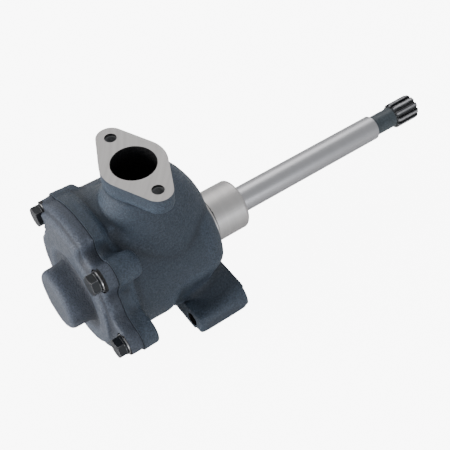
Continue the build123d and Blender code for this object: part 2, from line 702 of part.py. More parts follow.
def make_relief_spring():
    """The coil spring between plunger and plug."""
    y0 = RELIEF_SEAT_Y + PLUNGER_CROWN + SPRING_WIRE_D / 2 + PART_GAP
    y1 = RELIEF_BOSS_Y - PLUG_THREAD_LENGTH - SPRING_WIRE_D / 2 - PART_GAP
    radius = (SPRING_OUTER_D - SPRING_WIRE_D) / 2
    path = Helix((y1 - y0) / SPRING_TURNS, y1 - y0, radius)
    wire = Plane(origin=path @ 0, z_dir=path % 0) * RegularPolygon(SPRING_WIRE_D / 2, SPRING_WIRE_SIDES)
    coil = sweep(wire, path=path, is_frenet=True)
    return Pos(RELIEF_X, y0, RELIEF_Z) * Rot(-90, 0, 0) * coil


def make_relief_plug():
    """The hexagon plug that closes the relief bore."""
    head = Rot(0, 0, -90) * hexagon_head(PLUG_HEAD_AF, PLUG_HEAD_HEIGHT)
    plug = Pos(0, RELIEF_BOSS_Y + PLUG_WASHER_THICKNESS, 0) * head
    thread_y = RELIEF_BOSS_Y - PLUG_THREAD_LENGTH
    plug += rod_y(PLUG_THREAD_D / 2, thread_y, RELIEF_BOSS_Y + PLUG_WASHER_THICKNESS)
    return Pos(RELIEF_X, 0, RELIEF_Z) * plug


def make_relief_plug_washer():
    """The copper sealing washer under the plug."""
    y1 = RELIEF_BOSS_Y + PLUG_WASHER_THICKNESS
    washer = rod_y(PLUG_WASHER_D / 2, RELIEF_BOSS_Y, y1, RELIEF_X, RELIEF_Z)
    return washer - rod_y(PLUG_THREAD_D / 2 + PART_GAP, RELIEF_BOSS_Y, y1, RELIEF_X, RELIEF_Z)


def make_gallery_plug():
    """The socket plug that closes the transfer hole."""
    plug = rod_z(GALLERY_PLUG_D / 2, BAR_Z[0] + PART_GAP, BAR_Z[0] + GALLERY_PLUG_LENGTH)
    socket = RegularPolygon(GALLERY_SOCKET_AF / math.sqrt(3), 6)
    plug -= Pos(0, 0, BAR_Z[0] + PART_GAP) * extrude(socket, amount=GALLERY_SOCKET_DEPTH)
    return Pos(TRANSFER_X, 0, 0) * plug


def make_outlet_seal_ring():
    """The rubber ring around the outlet port."""
    ring_r = OUTLET_SEAL_DEPTH / 2 - SEAT_CLEARANCE
    ring = Torus(OUTLET_SEAL_R, ring_r, rotation=(0, 90, 0))
    return Pos(-OUTLET_SEAL_DEPTH / 2, 0, OUTLET_Z) * ring


PARTS = {
    "pump_body": make_pump_body,
    "end_cover": make_end_cover,
    "cover_gasket": make_cover_gasket,
    "cover_screws": make_cover_screws,
    "cover_spring_washers": make_cover_spring_washers,
    "cover_plain_washers": make_cover_plain_washers,
    "cover_dowels": make_cover_dowels,
    "drive_shaft": make_drive_shaft,
    "inner_rotor": make_inner_rotor,
    "rotor_key": make_rotor_key,
    "outer_rotor": make_outer_rotor,
    "rotor_circlips": make_rotor_circlips,
    "collar_bush": make_collar_bush,
    "body_bush": make_body_bush,
    "cover_bush": make_cover_bush,
    "relief_plunger": make_relief_plunger,
    "relief_spring": make_relief_spring,
    "relief_plug": make_relief_plug,
    "relief_plug_washer": make_relief_plug_washer,
    "gallery_plug": make_gallery_plug,
    "outlet_seal_ring": make_outlet_seal_ring,
}

if __name__ == "__main__":
    os.makedirs("parts", exist_ok=True)
    for name, make in PARTS.items():
        export_step(make(), f"parts/{name}.step")
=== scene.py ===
"""Looks of the engine oil pump: castings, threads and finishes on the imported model, and a plain stage."""
import math

import bmesh
import bpy
import numpy as np
from bpy.props import FloatProperty, FloatVectorProperty, IntProperty, PointerProperty
from mathutils import Matrix, Vector, kdtree, noise


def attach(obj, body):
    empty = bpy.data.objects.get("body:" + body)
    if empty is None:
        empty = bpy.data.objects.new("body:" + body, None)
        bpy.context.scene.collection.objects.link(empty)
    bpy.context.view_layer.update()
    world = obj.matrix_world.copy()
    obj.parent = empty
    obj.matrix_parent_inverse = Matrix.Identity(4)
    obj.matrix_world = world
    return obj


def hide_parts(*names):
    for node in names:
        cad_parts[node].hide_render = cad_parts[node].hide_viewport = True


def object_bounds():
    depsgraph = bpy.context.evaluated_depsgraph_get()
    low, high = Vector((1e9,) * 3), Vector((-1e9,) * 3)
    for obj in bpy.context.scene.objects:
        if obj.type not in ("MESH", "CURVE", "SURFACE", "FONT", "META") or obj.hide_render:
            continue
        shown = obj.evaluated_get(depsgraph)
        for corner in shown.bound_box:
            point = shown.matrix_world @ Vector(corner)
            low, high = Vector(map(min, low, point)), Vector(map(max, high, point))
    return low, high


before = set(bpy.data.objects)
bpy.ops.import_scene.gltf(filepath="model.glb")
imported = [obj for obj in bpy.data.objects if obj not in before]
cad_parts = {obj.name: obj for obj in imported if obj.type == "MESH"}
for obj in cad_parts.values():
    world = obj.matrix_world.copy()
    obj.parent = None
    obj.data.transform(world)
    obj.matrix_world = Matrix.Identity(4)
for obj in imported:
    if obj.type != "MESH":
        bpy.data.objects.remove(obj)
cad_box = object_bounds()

bl_info = {
    "name": "Engine Oil Pump",
    "version": (1, 0, 0),
    "blender": (4, 5, 0),
    "location": "3D View > Sidebar > Oil Pump",
    "description": "Dresses the packed oil pump with its castings, threads, finishes and stage",
    "category": "Object",
}

# Places are in metres: the drive axis is X and points to the splined end, Z is the inlet flange's normal.
X_AXIS, Y_AXIS, Z_AXIS = 0, 1, 2
DRIVE_AXIS = (0.0, 0.0)
# How near to a cut face a point counts as lying on it
SKIN = 0.0001
# A limit far past all metal, for cuts that run out into the open
OPEN = 1.0
# How squarely a face has to look along an axis to count as facing that way
SQUARE_ON = 0.7

PORT_CENTRE = (-0.0519, 0.0)
PORT_FACE_Z = 0.0906
PORT_R = 0.0154
PORT_CUT_END_Z = 0.05
# How deep the painted shade inside the inlet port reaches
PORT_DARK_END_Z = 0.03
PORT_HOLE_Y = 0.02875
PORT_HOLE_R = 0.0042
PORT_HOLE_DEPTH = 0.0196
PORT_HOLE_END_Z = PORT_FACE_Z - PORT_HOLE_DEPTH - 2 * SKIN
THREAD_START = 0.0005
THREAD_DEPTH = 0.0135
THREAD_CREST_R = 0.00345
THREAD_STEPS = 40

COVER_JOINT_X = -0.0955
NOSE_X = -0.0045
UNDERCUT_X = -0.0014
# The undercut groove: the X span of its painted shadow, and its radius
UNDERCUT_R = 0.0215
UNDERCUT_LIP_X = 0.0006
BUSH_BORE_R = 0.0145
BUSH_BORE_END_X = -0.07
ROTOR_AXIS = (-0.005, 0.0)
ROTOR_BORE_R = 0.0383
ROTOR_CUT_END_X = -0.062
ROTOR_BARE_END_X = -0.0654
OUTLET_AXIS = (0.0, -0.037)
OUTLET_SEAT_R = 0.0119
OUTLET_R = 0.0072
OUTLET_END_X = -0.0635
RELIEF_AXIS = (-0.06, -0.018)
RELIEF_R = 0.0066
RELIEF_START_Y = 0.01
RELIEF_FACE_Y = 0.056
RELIEF_FACE_LOW_Z = -0.03

BAR_TOP_Z = -0.031
BAR_BOTTOM_Z = -0.05065
BAR_BACK_X = -0.044
BAR_HALF_LENGTH = 0.05497
BAR_CRISP_Y = 0.047
BAR_CRISP_RISE = 0.002
BAR_END_Y = 0.033
BAR_BACK_CORNER_R = 0.003
BAR_CORNER_GROWTH = 0.0102
MOUNT_HOLE = (0.044, -0.0403)
MOUNT_HOLE_R = 0.00525
MOUNT_HOLE_RIM = 0.00025
MOUNT_HOLE_BACK_X = BAR_BACK_X - 0.0005

SCREW_CIRCLE_R = 0.058
SCREW_ANGLES = (48, 128, 179, 300)
SCREW_HOLE_R = 0.0046
SCREW_HOLE_END_X = -0.07
COVER_HOLE_R = 0.0047
COVER_HOLE_X = (-0.11, -0.09)
COVER_SEAT_R = 0.0087
COVER_SEAT_X = (-0.115, -0.103)
# Where the painted shadow in the screw seats begins
COVER_SEAT_DARK_X = -0.107
COVER_BORE_X = (-0.122, -0.09)
COVER_RIM_X = COVER_JOINT_X - 0.0006

# The barrel is drawn in above the bar: from none to full and back along X, and from none to full in Y and Z
BARREL_R = 0.046
BARREL_DRAW = 0.006
DRAW_X = (-0.058, -0.046, -0.016, -0.004)
DRAW_Y = (0.022, 0.032)
DRAW_Z = (0.008, -0.014)
# The moat round the cover's boss: its reach from the boss's flank, and the X range over which it fades out
BOSS_R = 0.0225
MOAT_DEPTH = 0.004
MOAT_INNER, MOAT_OUTER = 0.003, 0.011
MOAT_FADE_X = (-0.1135, -0.1115)
MOAT_END_X = -0.104
BOSS_FLANK = 0.002

# Boxes in which hollows are wide or outer edges round: low corner, high corner and soft margin
BAR_HOLLOWS = ((-0.062, -0.048, -0.056), (-0.001, 0.048, -0.006), 0.006)
RISER_HOLLOWS = ((-0.086, -0.046, 0.012), (-0.008, 0.046, 0.076), 0.004)
RISER_WAIST = ((-0.086, -0.046, 0.012), (-0.012, 0.046, 0.073), 0.004)
BAR_FEET = ((-0.046, -0.058, -0.054), (0.002, 0.058, -0.046), 0.002)
BAR_FEET_Y = 0.046
COVER_BULGE = ((-0.113, -0.05, 0.02), (-0.099, 0.05, 0.072), 0.003)
SHARE_STEPS = 20
HOLLOW_EVENING, WIDE_EVENING = 12, 40
WAVES_PER_METRE = 140.0
CAST_SHARP_ANGLE, THREAD_SHARP_ANGLE = 38, 30

# The cutter's centre for the arcs of a milled face
MILL_CENTRE = (-0.16, 0.09, PORT_FACE_Z)
GROUND_END_X = 0.164
SPLINE_START_X = 0.1835
SPLINE_TEETH = 11
SPLINE_ROOT_R = 0.0088
SPLINE_DEPTH = 0.0007

# Colours that no setting holds
# Near black painted shade for the bores, holes, undercut groove and screw seats
BORE_PAINTED_SHADE = (0.004, 0.004, 0.005)
OILY_IRON = (0.16, 0.165, 0.17)
SINTERED_STEEL = (0.3, 0.3, 0.31)
SPRING_STEEL = (0.2, 0.2, 0.21)
BLACK, WHITE = (0.0, 0.0, 0.0), (1.0, 1.0, 1.0)

# Each light: place, point it faces, width and height, tint
KEY_LIGHT = ((-1.38, 0.2, 0.3), (-0.03, 0, 0), (0.8, 0.6), (1.0, 0.98, 0.97))
TOP_LIGHT = ((0.5, 0.85, 1.05), (0.03, 0, 0), (1.3, 0.9), (1.0, 0.99, 0.98))
FILL_LIGHT = ((0.1, -1.3, 0.25), (0.03, 0, 0), (0.8, 0.5), (0.93, 0.96, 1.0))
SKY_TINT = (0.97, 0.985, 1.0, 1.0)
FLOOR_REACH = 3.0
FLOOR_CELLS = 12
CAMERA_PLACE = (-0.22524, -0.35267, 0.48406)
CAMERA_RIGHT = (0.81124535, -0.58441863, -0.01832587)
CAMERA_UP = (0.45484838, 0.61107101, 0.64784657)
CAMERA_BACK = (-0.3674152, -0.53389801, 0.76155038)
CAMERA_LENS, CAMERA_SENSOR = 69.25, 36.0
CAMERA_NEAR, CAMERA_FAR = 0.01, 20.0


class CastingSettings(bpy.types.PropertyGroup):
    """The castings' skin, grain and colours"""

    skin_detail: IntProperty(
        name="Skin detail", description="Octree depth of the castings' skin", default=8, min=6, max=9
    )
    skin_faces: IntProperty(
        name="Skin faces", description="Triangles that a casting keeps", default=170000, min=20000, max=195000
    )
    edge_rounds: IntProperty(
        name="Edge rounding", description="Smoothing rounds for outer edges", default=26, min=1, max=200
    )
    fillet_rounds: IntProperty(
        name="Fillet rounding", description="Smoothing rounds for hollow corners", default=150, min=1, max=600
    )
    broad_rounds: IntProperty(
        name="Broad rounding", description="Smoothing rounds for wide hollows", default=1500, min=1, max=6000
    )
    unevenness: FloatProperty(
        name="Unevenness", description="Height of the castings' slow waves", default=0.00016, unit="LENGTH"
    )
    grain_size: FloatProperty(
        name="Grain size", description="Width of the sand grain", default=0.0011, unit="LENGTH"
    )
    body_colour: FloatVectorProperty(
        name="Body colour",
        description="Sealed iron of the body",
        default=(0.035, 0.049, 0.069),
        subtype="COLOR",
    )
    cover_colour: FloatVectorProperty(
        name="Cover colour",
        description="Sealed iron of the cover",
        default=(0.046, 0.056, 0.076),
        subtype="COLOR",
    )
    machined_colour: FloatVectorProperty(
        name="Machined colour", description="Bare machined iron", default=(0.37, 0.36, 0.355), subtype="COLOR"
    )


class SteelSettings(bpy.types.PropertyGroup):
    """Colours of the metals, seals and gasket, and the threads' pitch"""

    ground_colour: FloatVectorProperty(
        name="Ground colour", description="Ground shaft steel", default=(0.56, 0.56, 0.58), subtype="COLOR"
    )
    black_colour: FloatVectorProperty(
        name="Black colour", description="Black oxide finish", default=(0.008, 0.01, 0.013), subtype="COLOR"
    )
    neck_colour: FloatVectorProperty(
        name="Neck colour",
        description="Blued neck before the spline",
        default=(0.05, 0.066, 0.078),
        subtype="COLOR",
    )
    zinc_colour: FloatVectorProperty(
        name="Zinc colour",
        description="Bright plated washers and plugs",
        default=(0.62, 0.62, 0.63),
        subtype="COLOR",
    )
    bronze_colour: FloatVectorProperty(
        name="Bronze colour", description="Bushes", default=(0.5, 0.32, 0.13), subtype="COLOR"
    )
    copper_colour: FloatVectorProperty(
        name="Copper colour", description="Sealing washer", default=(0.6, 0.25, 0.12), subtype="COLOR"
    )
    rubber_colour: FloatVectorProperty(
        name="Rubber colour", description="Sealing ring", default=(0.012, 0.012, 0.013), subtype="COLOR"
    )
    fibre_colour: FloatVectorProperty(
        name="Fibre colour", description="Cover gasket", default=(0.016, 0.02, 0.026), subtype="COLOR"
    )
    thread_pitch: FloatProperty(
        name="Thread pitch", description="Pitch of the inlet flange's threads", default=0.00125, unit="LENGTH"
    )


class StageSettings(bpy.types.PropertyGroup):
    """The floor, the lights and the sky"""

    floor_colour: FloatVectorProperty(
        name="Floor colour", description="Pale floor", default=(0.8, 0.8, 0.8), subtype="COLOR"
    )
    key_power: FloatProperty(
        name="Key light", description="Large light on the cover's side", default=26.0, unit="POWER"
    )
    top_power: FloatProperty(name="Top light", description="Large light overhead", default=7.0, unit="POWER")
    fill_power: FloatProperty(
        name="Fill light", description="Light on the near side", default=5.0, unit="POWER"
    )
    sky_strength: FloatProperty(name="Sky strength", description="Even light from all round", default=0.5)
    floor_glow: FloatProperty(
        name="Floor glow", description="Brightness that the lit floor adds in the picture", default=8.0
    )


def settings(kind):
    """The scene's settings of one kind: casting, steel or stage."""
    return getattr(bpy.context.scene, "oil_pump_" + kind)


def add_node(tree, kind, props=None, inputs=None):
    """A node with its properties and inputs set; an input is a value or another node's output."""
    node = tree.nodes.new(kind)
    for name, value in (props or {}).items():
        setattr(node, name, value)
    for name, value in (inputs or {}).items():
        if isinstance(value, bpy.types.NodeSocket):
            tree.links.new(value, node.inputs[name])
        else:
            node.inputs[name].default_value = value
    return node


def calc(tree, operation, first, second=0.0, third=0.0):
    """One step of arithmetic."""
    node = add_node(tree, "ShaderNodeMath", {"operation": operation}, {0: first, 1: second, 2: third})
    return node.outputs[0]


def mix_colours(tree, share, first, second):
    """First colour where share is 0, second where it is 1."""
    node = add_node(tree, "ShaderNodeMix", {"data_type": "RGBA"}, {0: share, 6: rgba(first), 7: rgba(second)})
    return node.outputs[2]


def mix_values(tree, share, first, second):
    """First value where share is 0, second where it is 1."""
    return add_node(tree, "ShaderNodeMix", {"data_type": "FLOAT"}, {0: share, 2: first, 3: second}).outputs[0]


def rgba(colour):
    """A colour with full opacity; a socket stays as it is."""
    if isinstance(colour, bpy.types.NodeSocket):
        return colour
    return (*tuple(colour)[:3], 1.0)


def shade(colour, factor):
    """A colour made darker or lighter, up to full white."""
    return [min(1.0, c * factor) for c in colour]


def toned(tree, share, colour, low, high):
    """A colour's darker shade where share is 0, its lighter one where it is 1."""
    return mix_colours(tree, share, shade(colour, low), shade(colour, high))


def product(tree, first, second):
    """Two values multiplied."""
    return calc(tree, "MULTIPLY", first, second)


def off_axis(tree, xyz):
    """Distance from the drive axis."""
    squares = calc(tree, "ADD", calc(tree, "POWER", xyz["Y"], 2.0), calc(tree, "POWER", xyz["Z"], 2.0))
    return calc(tree, "SQRT", squares)


def spread(tree, value, low, high):
    """A smooth step from 0 at low to 1 at high."""
    inputs = {"Value": value, "From Min": low, "From Max": high}
    return add_node(tree, "ShaderNodeMapRange", {"interpolation_type": "SMOOTHSTEP"}, inputs).outputs[0]


def place(tree):
    """Where a surface point is on the pump, as X, Y and Z and as one vector."""
    where = add_node(tree, "ShaderNodeTexCoord").outputs["Object"]
    return where, add_node(tree, "ShaderNodeSeparateXYZ", None, {0: where}).outputs


def scaled(tree, vector, factor):
    """A vector times a number."""
    node = add_node(tree, "ShaderNodeVectorMath", {"operation": "SCALE"}, {0: vector, "Scale": factor})
    return node.outputs[0]


def noise_value(tree, vector, scale, detail=2.0, roughness=0.5):
    """Even noise about one half."""
    inputs = {"Vector": vector, "Scale": scale, "Detail": detail, "Roughness": roughness}
    return add_node(tree, "ShaderNodeTexNoise", None, inputs).outputs[0]


def new_group(name, inputs, outputs):
    """An empty node group with named sockets, and its input and output nodes."""
    group = bpy.data.node_groups.new(name, "ShaderNodeTree")
    for socket, default in inputs.items():
        made = group.interface.new_socket(name=socket, in_out="INPUT", socket_type="NodeSocketFloat")
        made.default_value = default
    for socket in outputs:
        group.interface.new_socket(name=socket, in_out="OUTPUT", socket_type="NodeSocketFloat")
    return group, group.nodes.new("NodeGroupInput"), group.nodes.new("NodeGroupOutput")


def use_group(tree, name, inputs):
    """A group placed in a material with its own values."""
    node = tree.nodes.new("ShaderNodeGroup")
    node.node_tree = bpy.data.node_groups[name]
    for socket, value in inputs.items():
        if isinstance(value, bpy.types.NodeSocket):
            tree.links.new(value, node.inputs[socket])
        else:
            node.inputs[socket].default_value = value
    return node.outputs


def make_cast_grain():
    """Sand-cast skin: rounded grains, fine tooth and slow patches of tone."""
    group, given, result = new_group("Cast grain", {"Size": 0.0016}, ("Height", "Tone", "Patches"))
    where, _ = place(group)
    grains = scaled(group, where, calc(group, "DIVIDE", 1.0, given.outputs["Size"]))
    coarse = noise_value(group, grains, 1.0, 2.0, 0.55)
    fine = noise_value(group, grains, 2.7, 3.0, 0.6)
    patches = noise_value(group, grains, 0.09, 3.0, 0.5)
    height = calc(group, "MULTIPLY_ADD", fine, 0.45, coarse)
    group.links.new(height, result.inputs["Height"])
    group.links.new(spread(group, coarse, 0.35, 0.68), result.inputs["Tone"])
    group.links.new(spread(group, patches, 0.3, 0.7), result.inputs["Patches"])


def make_turned_marks():
    """Fine rings round the drive axis, as a lathe or a grinding wheel leaves them."""
    group, given, result = new_group("Turned marks", {"Spacing": 0.0004}, ("Height", "Tone"))
    _, xyz = place(group)
    radius = off_axis(group, xyz)
    per_metre = calc(group, "DIVIDE", 1.0, given.outputs["Spacing"])
    along = product(group, xyz["X"], per_metre)
    across = product(group, radius, per_metre)
    vector = add_node(group, "ShaderNodeCombineXYZ", None, {0: along, 1: across}).outputs[0]
    marks = noise_value(group, vector, 1.0, 2.0, 0.6)
    slow = noise_value(group, vector, 0.07, 1.0, 0.5)
    group.links.new(marks, result.inputs["Height"])
    tone = calc(group, "MULTIPLY_ADD", slow, 0.5, product(group, marks, 0.5))
    group.links.new(tone, result.inputs["Tone"])


def make_milled_marks():
    """Wide shallow arcs, as a face mill leaves them, about a point beside the piece."""
    sockets = {"Spacing": 0.0007, "Centre X": 0.0, "Centre Y": 0.0, "Centre Z": 0.0}
    group, given, result = new_group("Milled marks", sockets, ("Height", "Tone"))
    where, _ = place(group)
    parts = {n: given.outputs["Centre " + axis] for n, axis in enumerate("XYZ")}
    centre = add_node(group, "ShaderNodeCombineXYZ", None, parts).outputs[0]
    reach = add_node(group, "ShaderNodeVectorMath", {"operation": "DISTANCE"}, {0: where, 1: centre})
    steps = calc(group, "DIVIDE", reach.outputs["Value"], given.outputs["Spacing"])
    vector = add_node(group, "ShaderNodeCombineXYZ", None, {0: steps}).outputs[0]
    group.links.new(noise_value(group, vector, 1.0, 2.0, 0.6), result.inputs["Height"])
    group.links.new(noise_value(group, vector, 0.35, 2.0, 0.5), result.inputs["Tone"])


def make_edge_wear():
    """A mask of the edges where the finish is rubbed through."""
    group, given, result = new_group("Edge wear", {"Width": 0.0005, "Amount": 1.0}, ("Mask",))
    bevel = add_node(group, "ShaderNodeBevel", {"samples": 6}, {"Radius": given.outputs["Width"]}).outputs[0]
    normal = add_node(group, "ShaderNodeNewGeometry").outputs["Normal"]
    match = add_node(group, "ShaderNodeVectorMath", {"operation": "DOT_PRODUCT"}, {0: bevel, 1: normal})
    bent = spread(group, match.outputs["Value"], 0.995, 0.86)
    where, _ = place(group)
    rubbed = spread(group, noise_value(group, where, 900.0, 2.0, 0.6), 0.3, 0.6)
    mask = product(group, product(group, bent, rubbed), given.outputs["Amount"])
    group.links.new(mask, result.inputs["Mask"])


def new_finish(name, roughness=0.5, metallic=0.0, specular=0.5):
    """A material with one Principled shader; returns the material, its tree and the shader."""
    material = bpy.data.materials.new(name)
    material.use_nodes = True
    tree = material.node_tree
    shader = tree.nodes["Principled BSDF"]
    shader.inputs["Roughness"].default_value = roughness
    shader.inputs["Metallic"].default_value = metallic
    shader.inputs["Specular IOR Level"].default_value = specular
    return material, tree, shader


def set_input(tree, shader, name, value):
    """Feeds one of the shader's sockets from an output."""
    tree.links.new(value, shader.inputs[name])


def set_bump(tree, shader, height, depth):
    """Fine relief of the given depth in metres."""
    inputs = {"Height": height, "Strength": 1.0, "Distance": depth}
    set_input(tree, shader, "Normal", add_node(tree, "ShaderNodeBump", None, inputs).outputs[0])


def attribute(tree, name):
    """A value that the mesh carries."""
    return add_node(tree, "ShaderNodeAttribute", {"attribute_name": name}).outputs["Fac"]


def casting_finish(name, colour):
    """Sealed cast iron with bare machined faces, painted shade in bores and hollows, and a painted highlight
    with rubbing on edges.
    """
    casting = settings("casting")
    material, tree, shader = new_finish(name, specular=0.4)
    grain = use_group(tree, "Cast grain", {"Size": casting.grain_size})
    turned = use_group(tree, "Turned marks", {"Spacing": 0.00035})
    centre = {"Centre " + axis: value for axis, value in zip("XYZ", MILL_CENTRE)}
    milled = use_group(tree, "Milled marks", {"Spacing": 0.0008, **centre})
    machined, milled_face, oiled = (attribute(tree, n) for n in ("machined", "milled", "oiled"))
    ridge, hollow = attribute(tree, "ridge"), attribute(tree, "hollow")
    skin = toned(tree, grain["Tone"], colour, 0.84, 1.16)
    skin = mix_colours(tree, product(tree, grain["Patches"], 0.35), skin, shade(colour, 1.25))
    # Lighter convex edges: partly rubbing of the sealed skin, partly a painted highlight
    rubbed = product(tree, ridge, calc(tree, "MULTIPLY_ADD", grain["Tone"], 0.3, 0.1))
    skin = mix_colours(tree, rubbed, skin, shade(colour, 2.6))
    # Painted shade: the skin is darkened in the hollows, where shade falls
    skin = mix_colours(tree, product(tree, hollow, 0.45), skin, shade(colour, 0.4))
    marks = mix_values(tree, milled_face, turned["Tone"], milled["Tone"])
    flat = toned(tree, marks, casting.machined_colour, 0.86, 1.14)
    round_faces = toned(tree, marks, casting.machined_colour, 1.4, 1.85)
    bare = mix_colours(tree, milled_face, round_faces, flat)
    tone = mix_colours(tree, machined, skin, bare)
    # Painted shade: the bores, holes and screw seats go near black
    set_input(tree, shader, "Base Color", mix_colours(tree, oiled, tone, BORE_PAINTED_SHADE))
    skin_rough = mix_values(tree, grain["Tone"], 0.56, 0.42)
    rough = mix_values(tree, machined, skin_rough, mix_values(tree, marks, 0.5, 0.4))
    set_input(tree, shader, "Roughness", rough)
    bare_metal = product(tree, machined, calc(tree, "SUBTRACT", 1.0, oiled))
    set_input(tree, shader, "Metallic", product(tree, bare_metal, 0.85))
    fine = mix_values(tree, milled_face, turned["Height"], milled["Height"])
    relief = mix_values(tree, machined, grain["Height"], product(tree, fine, 0.06))
    set_bump(tree, shader, relief, 0.0006)
    return material


def ground_shaft_finish():
    """Ground shaft with a blackened neck and a black spline whose teeth are worn bright."""
    steel = settings("steel")
    material, tree, shader = new_finish("ground_shaft_steel", specular=0.5)
    _, xyz = place(tree)
    marks = use_group(tree, "Turned marks", {"Spacing": 0.0003})
    grain = use_group(tree, "Cast grain", {"Size": 0.0012})
    wear = use_group(tree, "Edge wear", {"Width": 0.0006, "Amount": 0.9})
    black_end = spread(tree, xyz["X"], GROUND_END_X + 2 * SKIN, GROUND_END_X + 8 * SKIN)
    spline = spread(tree, xyz["X"], SPLINE_START_X - 2 * SKIN, SPLINE_START_X + 10 * SKIN)
    outer = spread(tree, off_axis(tree, xyz), SPLINE_ROOT_R, SPLINE_ROOT_R + SPLINE_DEPTH)
    turn = product(tree, calc(tree, "ARCTAN2", xyz["Z"], xyz["Y"]), float(SPLINE_TEETH))
    crest = product(tree, spread(tree, calc(tree, "COSINE", turn), 0.5, 0.8), outer)
    worn = product(tree, product(tree, crest, spline), mix_values(tree, grain["Tone"], 0.6, 1.0))
    worn = calc(tree, "MAXIMUM", worn, product(tree, wear["Mask"], spline))
    ground = toned(tree, marks["Tone"], steel.ground_colour, 0.93, 1.06)
    blued = toned(tree, grain["Tone"], steel.neck_colour, 0.8, 1.3)
    black = mix_colours(tree, spline, blued, steel.black_colour)
    black = mix_colours(tree, worn, black, steel.ground_colour)
    set_input(tree, shader, "Base Color", mix_colours(tree, black_end, ground, black))
    ground_rough = mix_values(tree, marks["Tone"], 0.34, 0.42)
    black_rough = mix_values(tree, grain["Tone"], 0.35, 0.45)
    set_input(tree, shader, "Roughness", mix_values(tree, black_end, ground_rough, black_rough))
    covered = product(tree, black_end, calc(tree, "SUBTRACT", 1.0, worn))
    set_input(tree, shader, "Metallic", calc(tree, "SUBTRACT", 1.0, covered))
    height = mix_values(tree, black_end, product(tree, marks["Height"], 0.15), grain["Height"])
    set_bump(tree, shader, height, 0.00003)
    return material


def black_steel_finish():
    """Black oxide on screws and spring washers, rubbed bright at the edges."""
    steel = settings("steel")
    material, tree, shader = new_finish("black_oxide_steel", specular=0.2)
    grain = use_group(tree, "Cast grain", {"Size": 0.0007})
    wear = use_group(tree, "Edge wear", {"Width": 0.0005, "Amount": 0.75})
    black = toned(tree, grain["Tone"], steel.black_colour, 0.7, 1.9)
    rubbed = shade(steel.ground_colour, 0.7)
    set_input(tree, shader, "Base Color", mix_colours(tree, wear["Mask"], black, rubbed))
    set_input(tree, shader, "Roughness", mix_values(tree, grain["Tone"], 0.3, 0.46))
    set_input(tree, shader, "Metallic", wear["Mask"])
    set_bump(tree, shader, grain["Height"], 0.00002)
    return material


def bright_finish(name, colour, roughness, spacing, metallic=1.0):
    """Plated or turned metal with faint marks and patches of tone."""
    material, tree, shader = new_finish(name, metallic=metallic, specular=0.5)
    marks = use_group(tree, "Turned marks", {"Spacing": spacing})
    grain = use_group(tree, "Cast grain", {"Size": 0.0009})
    tone = calc(tree, "MULTIPLY_ADD", grain["Patches"], 0.5, product(tree, marks["Tone"], 0.5))
    set_input(tree, shader, "Base Color", toned(tree, tone, colour, 0.8, 1.15))
    set_input(tree, shader, "Roughness", mix_values(tree, tone, roughness * 0.8, roughness * 1.3))
    height = calc(tree, "ADD", marks["Height"], product(tree, grain["Height"], 0.5))
    set_bump(tree, shader, height, 0.000012)
    return material


def soft_finish(name, colour, roughness, grain_size):
    """Rubber or fibre sheet with a fine matt grain."""
    material, tree, shader = new_finish(name, specular=0.4)
    grain = use_group(tree, "Cast grain", {"Size": grain_size})
    set_input(tree, shader, "Base Color", toned(tree, grain["Tone"], colour, 0.7, 1.5))
    set_input(tree, shader, "Roughness", mix_values(tree, grain["Tone"], roughness, roughness * 0.8))
    set_bump(tree, shader, grain["Height"], 0.00003)
    return material


def rod(co, axis, centre, radius, low, high):
    """Which points lie inside a round bar along one axis."""
    across = [n for n in (X_AXIS, Y_AXIS, Z_AXIS) if n != axis]
    reach = np.hypot(co[:, across[0]] - centre[0], co[:, across[1]] - centre[1])
    return (reach < radius) & (co[:, axis] > low) & (co[:, axis] < high)


def circle_point(centre, radius, turn):
    """A point on a circle, as two values."""
    return centre[0] + radius * math.cos(turn), centre[1] + radius * math.sin(turn)


def screw_axes():
    """The Y and Z of the cover's screws, at their angles from +Y to +Z."""
    return [circle_point(DRIVE_AXIS, SCREW_CIRCLE_R, math.radians(a)) for a in SCREW_ANGLES]


def mount_axes():
    """The Y and Z of the mounting bar's two holes."""
    return [(side * MOUNT_HOLE[0], MOUNT_HOLE[1]) for side in (-1, 1)]


def flange_axes():
    """The X and Y of the inlet flange's two tapped holes."""
    return [(PORT_CENTRE[0], side * PORT_HOLE_Y) for side in (-1, 1)]


def new_mesh(name, points, faces):
    """A mesh of points and faces."""
    mesh = bpy.data.meshes.new(name)
    mesh.from_pydata(points, [], faces)
    return mesh


def new_piece(name, mesh):
    """A mesh as an object in the scene."""
    piece = bpy.data.objects.new(name, mesh)
    bpy.context.scene.collection.objects.link(piece)
    return piece


def evaluated_mesh(piece):
    """The piece's mesh with its modifiers applied; the modifiers go."""
    bpy.context.view_layer.update()
    mesh = bpy.data.meshes.new_from_object(piece.evaluated_get(bpy.context.evaluated_depsgraph_get()))
    piece.modifiers.clear()
    old = piece.data
    piece.data = mesh
    bpy.data.meshes.remove(old)
    return mesh


def vectors_of(items, field):
    """A field of three values per vertex or face, as an array."""
    values = np.empty(len(items) * 3, np.float32)
    items.foreach_get(field, values)
    return values.reshape(-1, 3).astype(float)


def points_of(mesh):
    """Vertex places as an array."""
    return vectors_of(mesh.vertices, "co")


def evened(mesh, values, rounds):
    """A value per vertex, averaged with its neighbours' round by round."""
    count = len(mesh.vertices)
    ends = np.empty(len(mesh.edges) * 2, np.int32)
    mesh.edges.foreach_get("vertices", ends)
    first, second = ends[0::2], ends[1::2]
    number = np.maximum(np.bincount(ends, minlength=count), 1)
    for _ in range(rounds):
        total = np.bincount(first, values[second], count) + np.bincount(second, values[first], count)
        values = 0.5 * (values + total / number)
    return values


